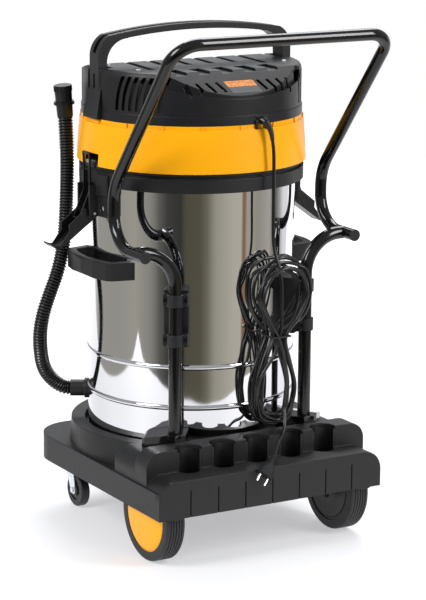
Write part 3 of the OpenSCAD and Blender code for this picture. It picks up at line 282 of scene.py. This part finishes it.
def hank_turn(y0, y1, top, half, foot, foot_half, waist, cx):
    """One turn of the hank: from the waist's right over the top, down through the waist, round the foot."""
    fx, wx = 54, 56
    pts = [(wx + waist, 455), (cx + 0.66 * half, 492), (cx + half, 538),
           (cx + 0.86 * half, top - 0.42 * half), (cx + 0.46 * half, top - 0.09 * half), (cx, top),
           (cx - 0.5 * half, top - 0.10 * half), (cx - 0.88 * half, top - 0.45 * half), (cx - half, 535),
           (cx - 0.66 * half, 490), (wx - waist, 455), (fx - 0.62 * foot_half, 410),
           (fx - foot_half, 350), (fx - 0.9 * foot_half, foot + 0.55 * foot_half),
           (fx - 0.55 * foot_half, foot + 0.12 * foot_half), (fx, foot),
           (fx + 0.55 * foot_half, foot + 0.12 * foot_half),
           (fx + 0.9 * foot_half, foot + 0.55 * foot_half), (fx + foot_half, 350),
           (fx + 0.62 * foot_half, 410)]
    n = len(pts)
    loose = [3.5 * math.sin(2.1 * i + 0.37 * top) for i in range(n)]
    return [(x + d, y0 + (y1 - y0) * i / n + 0.5 * d, z - d) for i, ((x, z), d) in enumerate(zip(pts, loose))]


def cord_route():
    """Down the hank's face, round its foot to the back, six and a half turns forward, then the tail."""
    route = list(CORD_LEAD)
    route += [(53, -265, 632), (56, -276, 605), (58, -284, 570), (58, -285, 520), (58, -284, 470)]
    route += [(44, -283, 420), (12, -280, 370), (6, -273, 325), (14, -262, 284), (34, -250, 260),
              (56, -244, 254), (80, -240, 262), (98, -237, 292), (102, -236, 340), (86, -236, 400)]
    turns = [(620, 71, 264, 46, 12, 68), (603, 58, 272, 38, 8, 58), (615, 66, 262, 49, 16, 74),
             (594, 50, 280, 33, 7, 66), (609, 63, 266, 45, 14, 78), (598, 55, 275, 40, 10, 70)]
    y = -238.0
    for top, half, foot, foot_half, waist, cx in turns:
        route += hank_turn(y, y - 7.3, top, half, foot, foot_half, waist, cx)
        y -= 7.3
    route += [(70, -285, 455), (98, -287, 492), (120, -288, 540), (104, -288, 588), (66, -289, 602),
              (30, -288, 582), (12, -288, 536), (30, -288, 490), (50, -287, 455), (66, -285, 410),
              (73, -283, 365), (74, -280, 332)]
    route += CORD_TAIL
    return [P(*p) for p in route]


cord_points = smooth_route(cord_route(), 6)
cord = curve_cord("mains_cord", cord_points, CORD_D * MM, "chassis", "cord_rubber")
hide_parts("power_cord", "cord_hank")

HOSE_ROUTE = [(-222, 128, 284), (-244, 140, 287), (-268, 146, 306), (-288, 142, 334), (-301, 132, 372),
              (-306, 124, 418), (-301, 118, 462), (-287, 114, 506), (-271, 112, 548), (-258, 113, 592),
              (-250, 114, 640), (-246, 115, 690), (-244, 115, 740), (-243, 115, 790), (-244, 115, 840),
              (-247, 114, 892)]


def even_points(points, step):
    """Points a fixed distance apart along a polyline."""
    out, left = [points[0].copy()], step
    for a, b in zip(points, points[1:]):
        seg = (b - a).length
        at = left
        while at <= seg:
            out.append(a.lerp(b, at / seg))
            at += step
        left = at - seg
    if (out[-1] - points[-1]).length > step * 0.4:
        out.append(points[-1].copy())
    return out


def sweep(name, path, radii, sides, guide):
    """Closed tube along path with one radius for each point; guide fixes where its first side faces."""
    verts, faces = [], []
    u_prev = None
    for i, p in enumerate(path):
        along = (path[min(i + 1, len(path) - 1)] - path[max(i - 1, 0)]).normalized()
        base = guide if u_prev is None else u_prev
        u = (base - along * base.dot(along)).normalized()
        u_prev = u
        v = along.cross(u)
        for k in range(sides):
            a = 2 * math.pi * k / sides
            verts.append(p + radii[i] * (math.cos(a) * u + math.sin(a) * v))
    n = len(path)
    for i in range(n - 1):
        for k in range(sides):
            k2 = (k + 1) % sides
            faces.append((i * sides + k, i * sides + k2, (i + 1) * sides + k2, (i + 1) * sides + k))
    faces.append(tuple(reversed(range(sides))))
    faces.append(tuple((n - 1) * sides + k for k in range(sides)))
    o = mesh_object(name, verts, faces)
    bm = bmesh.new()
    bm.from_mesh(o.data)
    bmesh.ops.recalc_face_normals(bm, faces=bm.faces)
    bm.to_mesh(o.data)
    bm.free()
    return o


def drain_hose():
    """The corrugated skin, one wave for each pitch in millimetres, and the path that it follows."""
    pitch, steps = 6.6, 8
    path = even_points(smooth_route([P(*p) for p in HOSE_ROUTE], 12), pitch / steps * MM)
    radii = []
    for i in range(len(path)):
        wave = 0.5 + 0.5 * math.cos(2 * math.pi * i / steps)
        radii.append((13.0 + 3.0 * wave ** 0.7) * MM)
    o = sweep("drain_hose_skin", path, radii, 32, Vector((0.2, 1, 0.1)))
    finish_piece(o, "chassis", "hose", 60)
    return o, path


hose, hose_path = drain_hose()
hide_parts("drain_hose")


def soft_box(name, size, at, turn, body, slot, edge=1.2):
    """Box with bevelled edges, in millimetres about its middle, turned about +Z."""
    bm = bmesh.new()
    bmesh.ops.create_cube(bm, size=1)
    bmesh.ops.scale(bm, vec=Vector(size) * MM, verts=bm.verts)
    bmesh.ops.bevel(bm, geom=bm.edges[:], offset=edge * MM, segments=3, profile=0.6, affect="EDGES")
    bmesh.ops.rotate(bm, verts=bm.verts, cent=(0, 0, 0), matrix=Matrix.Rotation(math.radians(turn), 3, "Z"))
    bmesh.ops.translate(bm, verts=bm.verts, vec=P(*at))
    return finish_piece(from_bmesh(name, bm), body, slot)


def cord_boot():
    """Ribbed boot round the cord where it leaves the head, tapering down to the cord."""
    route = [(32, -238, 911), (33, -243, 911), (36, -251, 907), (42, -255, 895), (46, -256, 882),
             (48, -256, 870)]
    path = even_points(smooth_route([P(*p) for p in route], 12), 0.6 * MM)
    n = len(path)
    radii = []
    for i in range(n):
        t = i / (n - 1)
        r = 9.0 - 4.6 * t ** 0.8
        groove = 0.55 if 0.25 < t < 0.95 and (i % 7) < 2 else 0.0
        radii.append((r - groove) * MM)
    o = sweep("cord_boot", path, radii, 28, Vector((0, 0.2, 1)))
    finish_piece(o, "head", "cord_rubber", 50)
    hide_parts("cord_gland")


cord_boot()


def lathe_x(name, profile, body, slot, at, flip, steps=96):
    """Closed ring turned about the X axis through at; profile gives (radius, x) in millimetres."""
    bm = bmesh.new()
    rows = []
    for k in range(steps):
        a = 2 * math.pi * k / steps
        rows.append([bm.verts.new(at + Vector((flip * x, r * math.cos(a), r * math.sin(a))) * MM)
                     for r, x in profile])
    n = len(profile)
    for k in range(steps):
        a, b = rows[k], rows[(k + 1) % steps]
        for i in range(n):
            bm.faces.new((a[i], a[(i + 1) % n], b[(i + 1) % n], b[i]))
    return finish_piece(from_bmesh(name, bm), body, slot, 30)


SIDES = ((-1, "left"), (1, "right"))
# A black dished cover closes each hub's inner side
HUB_INNER = (205, -247, 98)
DISH = [(19, 3.2), (19, 1.4), (26, 0.8), (34, 2.0), (58, 2.0), (66, 0.8), (71, 1.0), (71.6, 3.4), (62, 3.4),
        (56, 4.0), (34, 4.0)]
for side, word in SIDES:
    x, y, z = HUB_INNER
    lathe_x("hub_inner_dish_" + word, DISH, "wheel_" + word, "cup_plastic", P(side * x, y, z), side)


def vent_shade_sheet():
    """Two thin black arcs behind the vents on the cover's flanks: painted shade, a dark sheet that stands in
    for the shade inside the head, so nobody sees into the hollow head.
    """
    section = ((213, 922), (215, 922), (209, 984), (207, 984))
    for side, word in SIDES:
        bm = bmesh.new()
        rows = []
        for k in range(41):
            a = math.radians(-62 + 124 * k / 40)
            x, y = side * math.cos(a), math.sin(a)
            rows.append([bm.verts.new(P(x * r, y * r, z)) for r, z in section])
        for a, b in zip(rows, rows[1:]):
            for i in range(4):
                bm.faces.new((a[i], a[(i + 1) % 4], b[(i + 1) % 4], b[i]))
        bm.faces.new(rows[0])
        bm.faces.new(rows[-1])
        finish_piece(from_bmesh("vent_shade_sheet_" + word, bm), "head", "cup_plastic")


# Painted shade: black sheets behind the vents in place of the shaded inside of the head
vent_shade_sheet()

# Two lugs beside the cord's outlet, and the bridge over it
OUTLET_X, OUTLET_Y, OUTLET_TURN = 32, -238.5, -7.6
for number, offset in ((1, -12.5), (2, 12.5)):
    soft_box("outlet_lug_%d" % number, (6, 8, 19), (OUTLET_X + offset, OUTLET_Y, 902), OUTLET_TURN, "head",
             "black_steel")
soft_box("outlet_bridge", (30, 5, 4), (OUTLET_X, OUTLET_Y, 918.5), OUTLET_TURN, "head", "cover_plastic")

# ---------------------------------------------------------------- CAD nodes keep their shape, get a material
slot_of = {s["node"]: s["material_slot"] for s in frame["record"]["subparts"]}
for node_name, node_obj in frame["nodes"].items():
    node_obj.data.materials.clear()
    node_obj.data.materials.append(MAT[slot_of[node_name]])


def only_material(node, m):
    frame["nodes"][node].data.materials[0] = m


# Where a finish changes on one solid, in metres: hub face, top of the clamp screws, foot of the plate's band
HUB_FACE_X, SCREWS_TOP_Z, PLATE_BAND_Z = 0.2305, 0.62, 0.9795
# The hubs are yellow on their outer faces only, and the clamps' screws are blackened
hub_finish = two_tone("hub_two_tone", "yellow_plastic", (0.010, 0.010, 0.011), "X", HUB_FACE_X, mirrored=True)
only_material("hub_left", hub_finish)
only_material("hub_right", hub_finish)
screw_finish = two_tone("screw_two_tone", "zinc", (0.012, 0.012, 0.013), "Z", SCREWS_TOP_Z)
only_material("tank_screws", screw_finish)
# The plug's body is matt where the cord is glossy
plug_rubber = material("plug_rubber", (0.0062, 0.0068, 0.0085), 0.62, spec=0.25, bump=0.3, bump_scale=1400,
                       edge_mm=1.0)
only_material("plug_body", plug_rubber)
# The plate's upper third is an orange band
plate_finish = two_tone("plate_two_tone", "plate", (0.045, 0.048, 0.06), "Z", PLATE_BAND_Z)
only_material("rating_plate", plate_finish)


# ---------------------------------------------------------------- studio
# The room round the white sweep, by bearing in degrees: 0 is towards the viewer, + is to the right
ROOM = [(-180, (0.95, 0.95, 0.97)), (-134, (0.95, 0.95, 0.97)), (-124, (0.42, 0.40, 0.37)),
        (-84, (0.40, 0.39, 0.35)), (-64, (0.44, 0.42, 0.36)), (-47, (0.34, 0.325, 0.29)),
        (-40, (0.26, 0.25, 0.22)), (-33, (0.13, 0.125, 0.11)), (-26, (0.068, 0.066, 0.062)),
        (-10, (0.045, 0.045, 0.042)), (-5, (0.105, 0.096, 0.068)), (11, (0.118, 0.108, 0.077)),
        (19, (0.20, 0.185, 0.14)), (28, (0.40, 0.385, 0.315)), (48, (0.56, 0.53, 0.45)),
        (58, (0.57, 0.54, 0.46)), (60, (0.30, 0.17, 0.10)), (63, (0.30, 0.17, 0.10)),
        (65, (0.47, 0.44, 0.38)), (80, (0.37, 0.35, 0.30)), (97, (0.50, 0.475, 0.42)),
        (108, (0.12, 0.12, 0.115)), (116, (0.45, 0.45, 0.43)), (124, (0.93, 0.93, 0.95)),
        (180, (0.95, 0.95, 0.97))]


def studio_world():
    """White to look at; what lights the object and shows in its steel is a banded room, softer above."""
    world = bpy.data.worlds.new("studio")
    bpy.context.scene.world = world
    world.use_nodes = True
    nt = world.node_tree
    nt.nodes.clear()
    node = nt.nodes.new
    coord = node("ShaderNodeTexCoord")

    def dot(vector):
        n = node("ShaderNodeVectorMath")
        n.operation = "DOT_PRODUCT"
        nt.links.new(coord.outputs["Generated"], n.inputs[0])
        n.inputs[1].default_value = vector
        return n.outputs["Value"]

    def maths(operation, a, b):
        n = node("ShaderNodeMath")
        n.operation = operation
        for socket, value in zip(n.inputs, (a, b)):
            if hasattr(value, "is_linked"):
                nt.links.new(value, socket)
            else:
                socket.default_value = value
        return n.outputs["Value"]

    bearing = maths("ARCTAN2", dot(TO_RIGHT), dot(TO_VIEWER))
    wobble = node("ShaderNodeTexNoise")
    wobble.inputs["Scale"].default_value = 5
    wobble.inputs["Detail"].default_value = 2
    nt.links.new(coord.outputs["Generated"], wobble.inputs["Vector"])
    place = maths("MULTIPLY_ADD", bearing, 1 / (2 * math.pi))
    place.node.inputs[2].default_value = 0.5
    place = maths("ADD", place, maths("MULTIPLY", maths("SUBTRACT", wobble.outputs["Fac"], 0.5), 0.012))
    ramp = node("ShaderNodeValToRGB")
    stops = ramp.color_ramp.elements
    while len(stops) < len(ROOM):
        stops.new(0.5)
    for stop, (angle, color) in zip(stops, ROOM):
        stop.position = angle / 360 + 0.5
        stop.color = (*color, 1)
    nt.links.new(place, ramp.inputs["Fac"])
    height = node("ShaderNodeMapRange")
    height.inputs["From Min"].default_value = -0.06
    height.inputs["From Max"].default_value = 0.10
    nt.links.new(dot((0, 0, 1)), height.inputs["Value"])
    room = node("ShaderNodeMix")
    room.data_type = "RGBA"
    nt.links.new(height.outputs["Result"], room.inputs["Factor"])
    nt.links.new(ramp.outputs["Color"], room.inputs[6])
    room.inputs[7].default_value = (0.46, 0.47, 0.49, 1)
    lit = node("ShaderNodeBackground")
    nt.links.new(room.outputs[2], lit.inputs["Color"])
    seen = node("ShaderNodeBackground")
    seen.inputs["Color"].default_value = (1, 1, 1, 1)
    mix = node("ShaderNodeMixShader")
    path = node("ShaderNodeLightPath")
    nt.links.new(path.outputs["Is Camera Ray"], mix.inputs["Fac"])
    nt.links.new(lit.outputs["Background"], mix.inputs[1])
    nt.links.new(seen.outputs["Background"], mix.inputs[2])
    nt.links.new(mix.outputs["Shader"], node("ShaderNodeOutputWorld").inputs["Surface"])


def studio():
    """A white sweep whose front edge is 1.3 to 2.3 m from the tank, three soft boxes and the room."""
    right = Vector(TO_RIGHT)
    edge = [(-136, 4.8), (-127, 2.3), (-116, 1.65), (-76, 1.62), (-64, 1.80), (-58, 2.12), (-52, 1.80),
            (-36, 1.60), (-20, 1.45), (0, 1.36), (24, 1.32), (42, 1.38), (60, 1.55), (84, 1.75),
            (110, 1.9), (124, 2.5), (136, 4.8), (180, 5.5)]
    corners = [(d * math.sin(math.radians(b)), d * math.cos(math.radians(b))) for b, d in edge]
    corners = [r * right + a * Vector(TO_VIEWER) for r, a in corners]
    o = mesh_object("studio_floor", corners, [tuple(range(len(corners)))])
    m = material("floor_pale", (0.50, 0.50, 0.506), 0.6, tint=0.008, tint_scale=1.5, bump=0.0)
    # The soft boxes light only the middle of the sweep, so it glows more further out and stays one even white
    nt = m.node_tree
    b = nt.nodes["Principled BSDF"]
    b.inputs["Emission Color"].default_value = (0.97, 0.97, 1.0, 1)
    coord = nt.nodes.new("ShaderNodeTexCoord")
    reach = nt.nodes.new("ShaderNodeVectorMath")
    reach.operation = "LENGTH"
    nt.links.new(coord.outputs["Object"], reach.inputs[0])
    glow = nt.nodes.new("ShaderNodeMapRange")
    glow.inputs["From Min"].default_value = 1.2
    glow.inputs["From Max"].default_value = 3.4
    glow.inputs["To Min"].default_value = 0.46
    glow.inputs["To Max"].default_value = 1.0
    nt.links.new(reach.outputs["Value"], glow.inputs["Value"])
    nt.links.new(glow.outputs["Result"], b.inputs["Emission Strength"])
    o.data.materials.append(m)

    def area(name, bearing, distance, height, target, w, h, power):
        a = math.radians(bearing)
        where = distance * (math.cos(a) * Vector(TO_VIEWER) + math.sin(a) * right) + Vector((0, 0, height))
        d = bpy.data.lights.new(name, "AREA")
        d.shape = "RECTANGLE"
        d.size, d.size_y = w, h
        d.energy = power
        lo = bpy.data.objects.new(name, d)
        lo.location = where
        lo.rotation_euler = (Vector(target) - where).to_track_quat("-Z", "Y").to_euler()
        bpy.context.scene.collection.objects.link(lo)

    area("key", -52, 3.4, 2.7, (0, 0, 0.7), 1.4, 1.8, 118)
    area("fill", 62, 3.2, 2.3, (0, 0, 0.6), 1.0, 2.0, 88)
    area("top", 175, 2.6, 3.6, (0, 0, 0.4), 3.0, 2.0, 120)
    studio_world()
    bpy.context.scene.view_settings.view_transform = "Standard"


studio()
